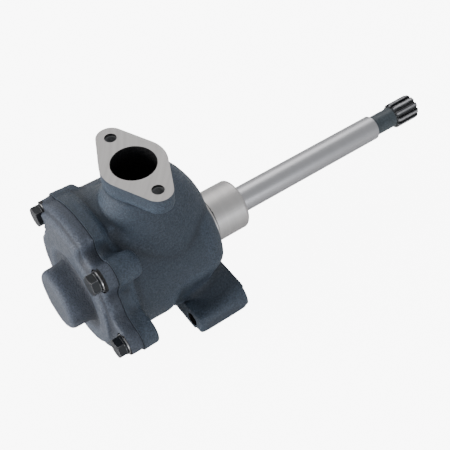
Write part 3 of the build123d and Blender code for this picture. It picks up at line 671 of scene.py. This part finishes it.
def drawn_together(piece, share, rounds):
    """Vertex places after rounds that draw each vertex to its neighbours as far as its share allows."""
    group = piece.vertex_groups.new(name="share")
    steps = np.rint(share * SHARE_STEPS).astype(int)
    for step in range(1, SHARE_STEPS + 1):
        group.add(np.flatnonzero(steps == step).tolist(), step / SHARE_STEPS, "REPLACE")
    smooth = piece.modifiers.new("smooth", "SMOOTH")
    smooth.factor = 1.0
    smooth.iterations = rounds
    smooth.vertex_group = group.name
    bpy.context.view_layer.update()
    co = points_of(piece.evaluated_get(bpy.context.evaluated_depsgraph_get()).data)
    piece.modifiers.remove(smooth)
    piece.vertex_groups.remove(group)
    return co


def soft_box(co, low, high, margin):
    """1 inside a box, falling to 0 within a margin round it."""
    away = np.maximum(np.maximum(np.array(low) - co, co - np.array(high)), 0).max(1)
    return np.clip(1 - away / margin, 0, 1)


def set_points(mesh, co):
    """Moves a mesh's vertices."""
    mesh.vertices.foreach_set("co", co.astype(np.float32).ravel())
    mesh.update()


def write_mask(mesh, name, values, domain):
    """A value from 0 to 1 that the mesh carries for its finish."""
    layer = mesh.attributes.new(name, "FLOAT", domain)
    layer.data.foreach_set("value", np.clip(values, 0, 1).astype(np.float32))


def cast_skin(node, name, added, shaped, crisp, wide, rolled, machined, milled, oiled):
    """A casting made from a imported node: cast edges and hollows go soft, machined faces stay crisp."""
    casting = settings("casting")
    piece = new_piece(name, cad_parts[node].data.copy())
    piece.data.materials.clear()
    weld = piece.modifiers.new("join seams", "WELD")
    weld.merge_threshold = SKIN / 100
    for operation, part in added:
        joined = piece.modifiers.new(part.name, "BOOLEAN")
        joined.operation = operation
        joined.object = part
    skin = piece.modifiers.new("skin", "REMESH")
    skin.mode = "SHARP"
    skin.octree_depth = casting.skin_detail
    mesh = evaluated_mesh(piece)
    for _, part in added:
        bpy.data.meshes.remove(part.data)
    set_points(mesh, shaped(points_of(mesh)))
    rest, normals = points_of(mesh), vectors_of(mesh.vertex_normals, "vector")
    share = 1.0 - crisp(rest).astype(float)
    edged = drawn_together(piece, share, casting.edge_rounds)
    filled = drawn_together(piece, share, casting.fillet_rounds)
    rise = ((filled - rest) * normals).sum(1)
    hollow = evened(mesh, np.clip(rise / (2 * SKIN), 0, 1), HOLLOW_EVENING)
    co = edged + (filled - edged) * np.maximum(hollow, rolled(rest))[:, None]
    window = wide(rest)
    if window.any():
        broad = drawn_together(piece, share * window, casting.broad_rounds)
        lift = ((broad - co) * normals).sum(1)
        taken = evened(mesh, np.clip(lift / (3 * SKIN), 0, 1), WIDE_EVENING) * window * share
        co = co + (broad - co) * taken[:, None]
    waves = np.array([noise.noise(Vector(p) * WAVES_PER_METRE) for p in co])
    co += normals * (waves * casting.unevenness * share)[:, None]
    set_points(mesh, co)
    tree = kdtree.KDTree(len(co))
    for n, p in enumerate(co):
        tree.insert(p, n)
    tree.balance()
    thin = piece.modifiers.new("thin", "DECIMATE")
    thin.ratio = min(1.0, casting.skin_faces / (2.0 * len(mesh.polygons)))
    mesh = evaluated_mesh(piece)
    nearest = np.array([tree.find(p)[1] for p in points_of(mesh)])
    # Mask for the ridges' lighter tone, partly rubbing and partly a painted highlight
    write_mask(mesh, "ridge", (-rise / (4 * SKIN))[nearest], "POINT")
    # Mask for the painted shade in the hollows
    write_mask(mesh, "hollow", (rise / (6 * SKIN))[nearest], "POINT")
    centre, normal = vectors_of(mesh.polygons, "center"), vectors_of(mesh.polygons, "normal")
    # Machined and milled faces, and the painted shade of the bores, holes and seats
    for mask, chosen in (("machined", machined), ("milled", milled), ("oiled", oiled)):
        write_mask(mesh, mask, chosen(centre, normal).astype(float), "FACE")
    mesh.shade_smooth()
    mesh.set_sharp_from_angle(angle=math.radians(CAST_SHARP_ANGLE))
    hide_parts(node)
    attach(piece, "housing")
    return piece


def prisms(name, sections, count):
    """Solids lofted along X: each is a list of X and the outline's Y and Z points, all of one count."""
    points, faces = [], []
    for stations in sections:
        first = len(points)
        for x, outline in stations:
            points += [(x, y, z) for y, z in outline]
        last = first + (len(stations) - 1) * count
        for start in range(first, last, count):
            for k in range(count):
                a, b = start + k, start + (k + 1) % count
                faces.append((a, a + count, b + count, b))
        faces.append(tuple(range(first, first + count)))
        faces.append(tuple(range(last + count - 1, last - 1, -1)))
    mesh = new_mesh(name, points, faces)
    shell = bmesh.new()
    shell.from_mesh(mesh)
    bmesh.ops.recalc_face_normals(shell, faces=shell.faces)
    shell.to_mesh(mesh)
    shell.free()
    return new_piece(name, mesh)


def bar_ends():
    """The mounting bar's ends: their top corners are tight at the back and widely rounded at the front."""
    steps, bends = 24, 10
    top = BAR_TOP_Z - SKIN / 2
    sections = []
    for side in (-1, 1):
        stations = []
        for n in range(steps + 1):
            x = (BAR_BACK_X + SKIN / 2) * (1 - n / steps) - 2 * SKIN * n / steps
            radius = BAR_BACK_CORNER_R + BAR_CORNER_GROWTH * (n / steps) ** 3
            outline = [(BAR_END_Y * side, BAR_BOTTOM_Z), (BAR_HALF_LENGTH * side, BAR_BOTTOM_Z)]
            for k in range(bends + 1):
                turn = math.pi / 2 * k / bends
                reach = BAR_HALF_LENGTH - radius + radius * math.cos(turn)
                outline.append((reach * side, top - radius + radius * math.sin(turn)))
            outline.append((BAR_END_Y * side, top))
            stations.append((x, outline))
        sections.append(stations)
    return prisms("bar_ends", sections, bends + 4)


def mount_holes():
    """The mounting bar's two through holes, as solids to cut away."""
    sides = 48
    overrun = 0.01
    sections = []
    for axis in mount_axes():
        ring = [circle_point(axis, MOUNT_HOLE_R, 2 * math.pi * k / sides) for k in range(sides)]
        sections.append([(BAR_BACK_X - overrun, ring), (overrun, ring)])
    return prisms("mount_holes", sections, sides)


def step_between(values, low, high):
    """A smooth step from 0 at low to 1 at high."""
    share = np.clip((values - low) / (high - low), 0, 1)
    return share * share * (3 - 2 * share)


def body_shaped(co):
    """The barrel drawn in above the mounting bar, where it is slimmer than over the rotors."""
    x, y, z = co.T
    start, full, ease, end = DRAW_X
    along = step_between(x, start, full) * step_between(x, end, ease)
    drawn = BARREL_DRAW * along * step_between(z, *DRAW_Z) * step_between(np.abs(y), *DRAW_Y)
    drawn *= (z > BAR_TOP_Z + 3 * SKIN) & (np.hypot(y, z) < BARREL_R)
    shaped = co.copy()
    shaped[:, 1] -= np.sign(y) * drawn
    return shaped


def cover_shaped(co):
    """A shallow moat in the cover's raised face round the foot of its boss."""
    x, y, z = co.T
    reach = np.hypot(y, z)
    depth = MOAT_DEPTH * step_between(reach, BOSS_R + MOAT_OUTER, BOSS_R + MOAT_INNER)
    depth *= step_between(x, *MOAT_FADE_X)
    depth *= (x < MOAT_END_X) & (reach > BOSS_R - BOSS_FLANK)
    shaped = co.copy()
    shaped[:, 0] += depth
    return shaped


def body_crisp(co):
    """Points of the body that a cutter has made, which keep their sharp edges."""
    x, y, z = co.T
    cut = (x < COVER_JOINT_X + SKIN) | (z > PORT_FACE_Z - SKIN)
    cut |= (x > -SKIN) & (z < BAR_TOP_Z + BAR_CRISP_RISE) & (np.abs(y) < BAR_CRISP_Y)
    cut |= rod(co, X_AXIS, DRIVE_AXIS, UNDERCUT_R + 3 * SKIN, NOSE_X - SKIN, OPEN)
    cut |= rod(co, X_AXIS, ROTOR_AXIS, ROTOR_BORE_R, -OPEN, ROTOR_CUT_END_X)
    cut |= rod(co, X_AXIS, DRIVE_AXIS, BUSH_BORE_R, BUSH_BORE_END_X, OPEN)
    cut |= rod(co, Z_AXIS, PORT_CENTRE, PORT_R + 2 * SKIN, PORT_CUT_END_Z, OPEN)
    cut |= rod(co, X_AXIS, OUTLET_AXIS, OUTLET_SEAT_R, OUTLET_END_X, OPEN)
    cut |= rod(co, Y_AXIS, RELIEF_AXIS, RELIEF_R, RELIEF_START_Y, OPEN)
    cut |= (y > RELIEF_FACE_Y - SKIN) & (z > RELIEF_FACE_LOW_Z)
    for axis in flange_axes():
        cut |= rod(co, Z_AXIS, axis, PORT_HOLE_R + 2 * SKIN, PORT_HOLE_END_Z, OPEN)
    for axis in mount_axes():
        cut |= rod(co, X_AXIS, axis, MOUNT_HOLE_R + MOUNT_HOLE_RIM, MOUNT_HOLE_BACK_X, OPEN)
    for axis in screw_axes():
        cut |= rod(co, X_AXIS, axis, SCREW_HOLE_R, -OPEN, SCREW_HOLE_END_X)
    return cut


def body_wide(co):
    """Where the body's hollows are wide: round the mounting bar, and on the inlet's riser and duct."""
    return np.maximum(soft_box(co, *BAR_HOLLOWS), soft_box(co, *RISER_HOLLOWS))


def body_rolled(co):
    """Where the body's outer edges are as round as its hollows: the riser's waist and the bar's feet."""
    ends = soft_box(co, *BAR_FEET) * (np.abs(co[:, 1]) > BAR_FEET_Y)
    return np.maximum(soft_box(co, *RISER_WAIST), ends)


def body_machined(co, normal):
    """Faces of the body that are bare metal."""
    x, y, z = co.T
    bare = (z > PORT_FACE_Z - SKIN) & (normal[:, 2] > SQUARE_ON)
    bare |= rod(co, X_AXIS, DRIVE_AXIS, UNDERCUT_R + 2 * SKIN, NOSE_X + SKIN, OPEN)
    bare |= (x > -SKIN) & (z < BAR_TOP_Z) & (normal[:, 0] > SQUARE_ON)
    bare |= rod(co, X_AXIS, ROTOR_AXIS, ROTOR_BORE_R, -OPEN, ROTOR_BARE_END_X)
    bare |= (y > RELIEF_FACE_Y - SKIN) & (normal[:, 1] > SQUARE_ON)
    return bare


def body_milled(co, _):
    """Bare faces cut flat by a mill, as against turned ones."""
    return (co[:, 2] > PORT_FACE_Z - SKIN) | (co[:, 2] < BAR_TOP_Z)


def body_painted_shade(co, normal):
    """Painted shade: the ports, threads, mounting holes and undercut groove made nearly black, where shade
    falls.
    """
    inner = (co[:, 0] < -SKIN) | (normal[:, 0] < SQUARE_ON)
    inside = rod(co, Z_AXIS, PORT_CENTRE, PORT_R + 2 * SKIN, PORT_DARK_END_Z, PORT_FACE_Z - 2 * SKIN)
    inside |= rod(co, X_AXIS, OUTLET_AXIS, OUTLET_R, OUTLET_END_X, -5 * SKIN)
    # Painted shadow in the undercut groove behind the land
    inside |= rod(co, X_AXIS, DRIVE_AXIS, UNDERCUT_R, UNDERCUT_X, UNDERCUT_LIP_X) & inner
    for axis in mount_axes():
        inside |= rod(co, X_AXIS, axis, MOUNT_HOLE_R + MOUNT_HOLE_RIM, MOUNT_HOLE_BACK_X, -2 * SKIN)
    for axis in flange_axes():
        inside |= rod(co, Z_AXIS, axis, PORT_HOLE_R + 2 * SKIN, PORT_HOLE_END_Z, PORT_FACE_Z - 2 * SKIN)
    return inside


def cover_crisp(co):
    """Points of the cover that a cutter has made."""
    cut = (co[:, 0] > COVER_RIM_X) | rod(co, X_AXIS, DRIVE_AXIS, BUSH_BORE_R, *COVER_BORE_X)
    for axis in screw_axes():
        cut |= rod(co, X_AXIS, axis, COVER_SEAT_R, *COVER_SEAT_X)
        cut |= rod(co, X_AXIS, axis, COVER_HOLE_R, *COVER_HOLE_X)
    return cut


def cover_rolled(co):
    """Where the cover's outer edges are round: its bulge over the inlet channel and its raised face."""
    return soft_box(co, *COVER_BULGE)


def cover_machined(co, normal):
    """Faces of the cover that are bare metal."""
    return (co[:, 0] > COVER_RIM_X) & (normal[:, 0] > SQUARE_ON)


def cover_painted_shade(co, _):
    """Painted shadow: the seats of the cover's screws made nearly black round the washers."""
    seats = np.zeros(len(co), bool)
    for axis in screw_axes():
        seats |= rod(co, X_AXIS, axis, COVER_SEAT_R - SKIN, COVER_SEAT_DARK_X, COVER_SEAT_X[1])
    return seats


def nowhere(co, _=None):
    """No point or face at all."""
    return np.zeros(len(co), bool)


class OILPUMP_OT_body_casting(bpy.types.Operator):
    """Build the body casting with its soft edges, machined faces and bores"""

    bl_idname = "oilpump.body_casting"
    bl_label = "Body Casting"

    def execute(self, context):
        added = (("UNION", bar_ends()), ("DIFFERENCE", mount_holes()))
        forms = (body_shaped, body_crisp, body_wide, body_rolled)
        masks = (body_machined, body_milled, body_painted_shade)
        piece = cast_skin("pump_body", "body_casting", added, *forms, *masks)
        finish = casting_finish("sealed_body_iron", settings("casting").body_colour)
        piece.data.materials.append(finish)
        return {"FINISHED"}


class OILPUMP_OT_end_cover(bpy.types.Operator):
    """Build the eared end cover with its raised face and round boss"""

    bl_idname = "oilpump.end_cover"
    bl_label = "End Cover"

    def execute(self, context):
        forms = (cover_shaped, cover_crisp, nowhere, cover_rolled)
        masks = (cover_machined, nowhere, cover_painted_shade)
        piece = cast_skin("end_cover", "end_cover_casting", (), *forms, *masks)
        finish = casting_finish("sealed_cover_iron", settings("casting").cover_colour)
        piece.data.materials.append(finish)
        return {"FINISHED"}


def helix_thread(name, centre, pitch):
    """The ridges of a tapped hole along -Z: one closed helical bar whose inner edge is the thread's crest."""
    start_r = PORT_HOLE_R + SKIN
    # As shares of the pitch: the ridge's half widths and the first turn's drop; the least height at a run-out
    half_crest, half_root, first_turn, least = 0.09, 0.5, 0.52, 0.05
    profile = (
        (start_r, -half_root),
        (PORT_HOLE_R, -half_root),
        (THREAD_CREST_R, -half_crest),
        (THREAD_CREST_R, half_crest),
        (PORT_HOLE_R, half_root),
        (start_r, half_root),
    )
    width = len(profile)
    count = int((THREAD_DEPTH / pitch - 1) * THREAD_STEPS)
    points, faces = [], []
    for n in range(count + 1):
        turns = n / THREAD_STEPS
        fade = min(1.0, turns, (count - n) / THREAD_STEPS)
        middle = PORT_FACE_Z - THREAD_START - pitch * (turns + first_turn)
        for radius, rise in profile:
            reach = start_r + (radius - PORT_HOLE_R - SKIN) * max(fade, least)
            x, y = circle_point(centre, reach, 2 * math.pi * n / THREAD_STEPS)
            points.append((x, y, middle + rise * pitch))
    for n in range(count):
        for k in range(width):
            a, b = n * width + k, n * width + (k + 1) % width
            faces.append((a, b, b + width, a + width))
    faces.append(tuple(range(width - 1, -1, -1)))
    faces.append(tuple(range(count * width, (count + 1) * width)))
    mesh = new_mesh(name, points, faces)
    mesh.shade_smooth()
    mesh.set_sharp_from_angle(angle=math.radians(THREAD_SHARP_ANGLE))
    return new_piece(name, mesh)


class OILPUMP_OT_inlet_threads(bpy.types.Operator):
    """Cut the threads in the inlet flange's two tapped holes"""

    bl_idname = "oilpump.inlet_threads"
    bl_label = "Inlet Flange Threads"

    def execute(self, context):
        pitch = settings("steel").thread_pitch
        finish = bright_finish("oily_thread_iron", OILY_IRON, 0.35, 0.0004)
        for axis, word in zip(flange_axes(), ("near", "far")):
            piece = helix_thread(f"inlet_thread_{word}", axis, pitch)
            piece.data.materials.append(finish)
            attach(piece, "housing")
        return {"FINISHED"}


def dress(node, finish):
    """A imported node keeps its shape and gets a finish."""
    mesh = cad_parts[node].data
    mesh.materials.clear()
    mesh.materials.append(finish)


class OILPUMP_OT_drive_shaft(bpy.types.Operator):
    """Finish the ground drive shaft, its black splined end, key and retaining rings"""

    bl_idname = "oilpump.drive_shaft"
    bl_label = "Drive Shaft"

    def execute(self, context):
        steel = settings("steel")
        dress("drive_shaft", ground_shaft_finish())
        dress("rotor_key", bright_finish("key_steel", steel.zinc_colour, 0.3, 0.0003))
        dress("rotor_circlips", black_steel_finish())
        return {"FINISHED"}


class OILPUMP_OT_rotor_set(bpy.types.Operator):
    """Finish the inner and outer rotors"""

    bl_idname = "oilpump.rotor_set"
    bl_label = "Rotor Set"

    def execute(self, context):
        finish = bright_finish("sintered_rotor_steel", SINTERED_STEEL, 0.42, 0.0005)
        dress("inner_rotor", finish)
        dress("outer_rotor", finish)
        return {"FINISHED"}


class OILPUMP_OT_cover_fasteners(bpy.types.Operator):
    """Finish the cover's screws, washers, dowels and gasket"""

    bl_idname = "oilpump.cover_fasteners"
    bl_label = "Cover Fasteners"

    def execute(self, context):
        steel = settings("steel")
        black = black_steel_finish()
        dress("cover_screws", black)
        dress("cover_spring_washers", black)
        bright = bright_finish("bright_washer_zinc", steel.zinc_colour, 0.28, 0.0006)
        dress("cover_plain_washers", bright)
        dress("cover_dowels", bright)
        dress("cover_gasket", soft_finish("gasket_fibre", steel.fibre_colour, 0.8, 0.0005))
        return {"FINISHED"}


class OILPUMP_OT_bushes(bpy.types.Operator):
    """Finish the bronze bushes of the drive shaft"""

    bl_idname = "oilpump.bushes"
    bl_label = "Bushes"

    def execute(self, context):
        finish = bright_finish("bush_bronze", settings("steel").bronze_colour, 0.3, 0.0004)
        for node in ("collar_bush", "body_bush", "cover_bush"):
            dress(node, finish)
        return {"FINISHED"}


class OILPUMP_OT_relief_valve(bpy.types.Operator):
    """Finish the relief valve's plunger, spring, plug and sealing washer"""

    bl_idname = "oilpump.relief_valve"
    bl_label = "Relief Valve"

    def execute(self, context):
        steel = settings("steel")
        dress("relief_plunger", bright_finish("plunger_steel", steel.ground_colour, 0.25, 0.0003))
        dress("relief_spring", bright_finish("spring_wire_steel", SPRING_STEEL, 0.3, 0.0004))
        dress("relief_plug", bright_finish("plug_zinc", steel.zinc_colour, 0.32, 0.0005))
        dress("relief_plug_washer", bright_finish("washer_copper", steel.copper_colour, 0.34, 0.0004))
        return {"FINISHED"}


class OILPUMP_OT_outlet_fittings(bpy.types.Operator):
    """Finish the oil gallery's plug and the outlet's sealing ring"""

    bl_idname = "oilpump.outlet_fittings"
    bl_label = "Outlet Fittings"

    def execute(self, context):
        steel = settings("steel")
        dress("gallery_plug", bright_finish("gallery_plug_zinc", steel.zinc_colour, 0.34, 0.0005))
        dress("outlet_seal_ring", soft_finish("seal_rubber", steel.rubber_colour, 0.55, 0.0004))
        return {"FINISHED"}


def area_light(name, power, where, target, size, tint):
    """A large soft light that faces the pump."""
    data = bpy.data.lights.new(name, "AREA")
    data.shape = "RECTANGLE"
    data.size, data.size_y = size
    data.energy = power
    data.color = tint
    light = bpy.data.objects.new(name, data)
    bpy.context.scene.collection.objects.link(light)
    light.location = where
    light.rotation_euler = (Vector(target) - Vector(where)).to_track_quat("-Z", "Y").to_euler()


def pale_floor(stage):
    """A square floor under the pump, which the camera sees nearly white."""
    row = FLOOR_CELLS + 1
    steps = [FLOOR_REACH * (2 * n / FLOOR_CELLS - 1) for n in range(row)]
    grid = [(x, y, cad_box[0].z) for y in steps for x in steps]
    corners = [j * row + i for j in range(FLOOR_CELLS) for i in range(FLOOR_CELLS)]
    quads = [(n, n + 1, n + row + 1, n + row) for n in corners]
    mesh = new_mesh("pale_floor", grid, quads)
    finish, tree, shader = new_finish("pale_floor_paint", roughness=0.9, specular=0.1)
    where, _ = place(tree)
    patches = noise_value(tree, where, 3.0, 2.0, 0.5)
    set_input(tree, shader, "Base Color", toned(tree, patches, stage.floor_colour, 0.99, 1.01))
    seen = add_node(tree, "ShaderNodeLightPath").outputs["Is Camera Ray"]
    set_input(tree, shader, "Emission Color", mix_colours(tree, seen, BLACK, WHITE))
    shader.inputs["Emission Strength"].default_value = stage.floor_glow
    mesh.materials.append(finish)
    return new_piece("pale_floor", mesh)


def even_sky(scene, stage):
    """Even light from all round, which the camera sees as pale as the floor."""
    world = scene.world or bpy.data.worlds.new("studio")
    scene.world = world
    world.use_nodes = True
    tree = world.node_tree
    sky = tree.nodes["Background"]
    sky.inputs["Color"].default_value = SKY_TINT
    seen = add_node(tree, "ShaderNodeLightPath").outputs["Is Camera Ray"]
    strength = mix_values(tree, seen, stage.sky_strength, stage.floor_glow + stage.floor_colour[0])
    set_input(tree, sky, "Strength", strength)


def photo_camera(scene):
    """The camera, placed and turned as the one that took the photograph."""
    data = bpy.data.cameras.new("photo_camera")
    data.lens, data.sensor_width = CAMERA_LENS, CAMERA_SENSOR
    data.clip_start, data.clip_end = CAMERA_NEAR, CAMERA_FAR
    camera = bpy.data.objects.new("photo_camera", data)
    scene.collection.objects.link(camera)
    turn = Matrix((CAMERA_RIGHT, CAMERA_UP, CAMERA_BACK)).transposed().to_4x4()
    camera.matrix_world = Matrix.Translation(CAMERA_PLACE) @ turn
    scene.camera = camera


class OILPUMP_OT_studio_stage(bpy.types.Operator):
    """Set the pale floor, the soft lights and the camera"""

    bl_idname = "oilpump.studio_stage"
    bl_label = "Studio Stage"

    def execute(self, context):
        stage = settings("stage")
        floor = pale_floor(stage)
        area_light("key_light", stage.key_power, *KEY_LIGHT)
        area_light("top_light", stage.top_power, *TOP_LIGHT)
        area_light("fill_light", stage.fill_power, *FILL_LIGHT)
        even_sky(context.scene, stage)
        photo_camera(context.scene)
        return {"FINISHED"}


BUILD_ORDER = (
    OILPUMP_OT_studio_stage,
    OILPUMP_OT_body_casting,
    OILPUMP_OT_end_cover,
    OILPUMP_OT_inlet_threads,
    OILPUMP_OT_drive_shaft,
    OILPUMP_OT_rotor_set,
    OILPUMP_OT_cover_fasteners,
    OILPUMP_OT_bushes,
    OILPUMP_OT_relief_valve,
    OILPUMP_OT_outlet_fittings,
)


class OILPUMP_PT_sidebar(bpy.types.Panel):
    """The pump's operators in building order, and its settings"""

    bl_idname = "OILPUMP_PT_sidebar"
    bl_label = "Oil Pump"
    bl_space_type = "VIEW_3D"
    bl_region_type = "UI"
    bl_category = "Oil Pump"

    def draw(self, context):
        for operator in BUILD_ORDER:
            self.layout.operator(operator.bl_idname)
        for kind in ("casting", "steel", "stage"):
            box = self.layout.box()
            box.label(text=kind.title())
            group = settings(kind)
            for name in group.__annotations__:
                box.prop(group, name)


SETTING_GROUPS = {"casting": CastingSettings, "steel": SteelSettings, "stage": StageSettings}


def register():
    """Registers the settings, the operators and the panel."""
    for group in SETTING_GROUPS.values():
        bpy.utils.register_class(group)
    for kind, group in SETTING_GROUPS.items():
        setattr(bpy.types.Scene, "oil_pump_" + kind, PointerProperty(type=group))
    for operator in BUILD_ORDER:
        bpy.utils.register_class(operator)
    bpy.utils.register_class(OILPUMP_PT_sidebar)


def unregister():
    """Takes all of them away again."""
    bpy.utils.unregister_class(OILPUMP_PT_sidebar)
    for operator in reversed(BUILD_ORDER):
        bpy.utils.unregister_class(operator)
    for kind in SETTING_GROUPS:
        delattr(bpy.types.Scene, "oil_pump_" + kind)
    for group in SETTING_GROUPS.values():
        bpy.utils.unregister_class(group)


def main():
    """Registers the add-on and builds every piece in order."""
    register()
    for make_group in (make_cast_grain, make_turned_marks, make_milled_marks, make_edge_wear):
        make_group()
    for operator in BUILD_ORDER:
        category, name = operator.bl_idname.split(".")
        if getattr(getattr(bpy.ops, category), name)() != {"FINISHED"}:
            raise RuntimeError(operator.bl_label + " was not built")


if __name__ == "__main__":
    main()
